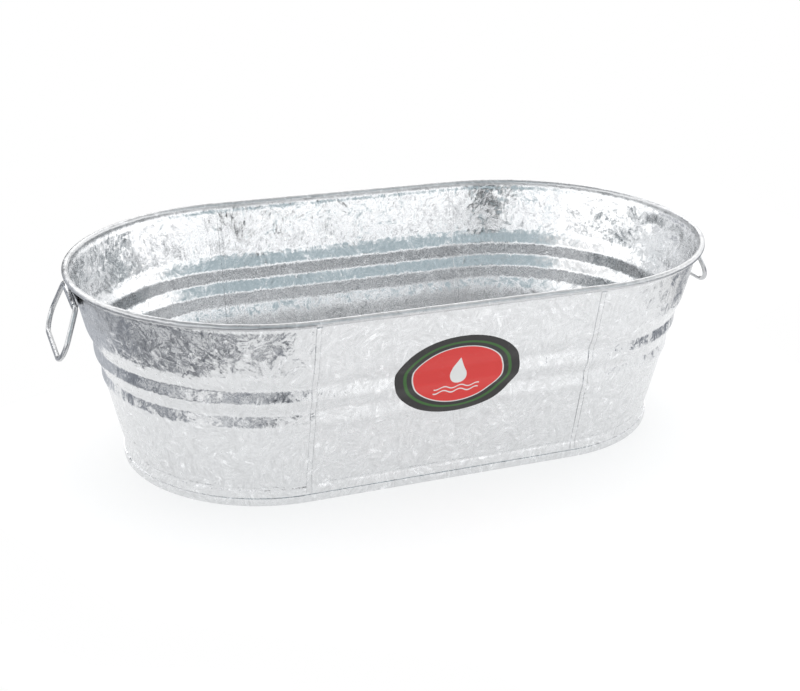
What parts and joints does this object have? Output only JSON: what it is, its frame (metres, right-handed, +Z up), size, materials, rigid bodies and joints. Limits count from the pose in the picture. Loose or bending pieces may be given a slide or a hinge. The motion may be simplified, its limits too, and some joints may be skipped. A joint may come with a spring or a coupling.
{
  "type": "livestock water trough",
  "caption": "Oval galvanised steel water tub with swaged sloping walls, rolled wire rim, raised bottom and a drop handle at each end.",
  "frame": {"origin": "on the ground, under the middle of the tub", "axes": "+X along the tub towards the right handle, +Z up, -Y towards the labelled front side"},
  "size_m": [0.7218, 0.3986, 0.2073],
  "materials": {
    "zinc_sheet": "hot-dip galvanised, spangled",
    "wire": "hot-dip galvanised",
    "label": "printed, semi-gloss"
  },
  "bodies": {
    "root": {"front_side_panel": "zinc_sheet", "rear_side_panel": "zinc_sheet", "left_end_panel": "zinc_sheet", "right_end_panel": "zinc_sheet", "bottom_pan": "zinc_sheet", "rim_wire": "wire", "left_ear": "zinc_sheet", "right_ear": "zinc_sheet", "label": "label"},
    "left_handle": {"left_handle": "wire"},
    "right_handle": {"right_handle": "wire"}
  },
  "joints": [
    {"name": "left_handle_swing", "type": "hinge", "parent": "root", "child": "left_handle", "pos_m": [-0.33833, 0, 0.1859], "axis": [0, 1, 0], "range_deg": [-37, 143]},
    {"name": "right_handle_swing", "type": "hinge", "parent": "root", "child": "right_handle", "pos_m": [0.33833, 0, 0.1859], "axis": [0, -1, 0], "range_deg": [-37, 143]}
  ]
}
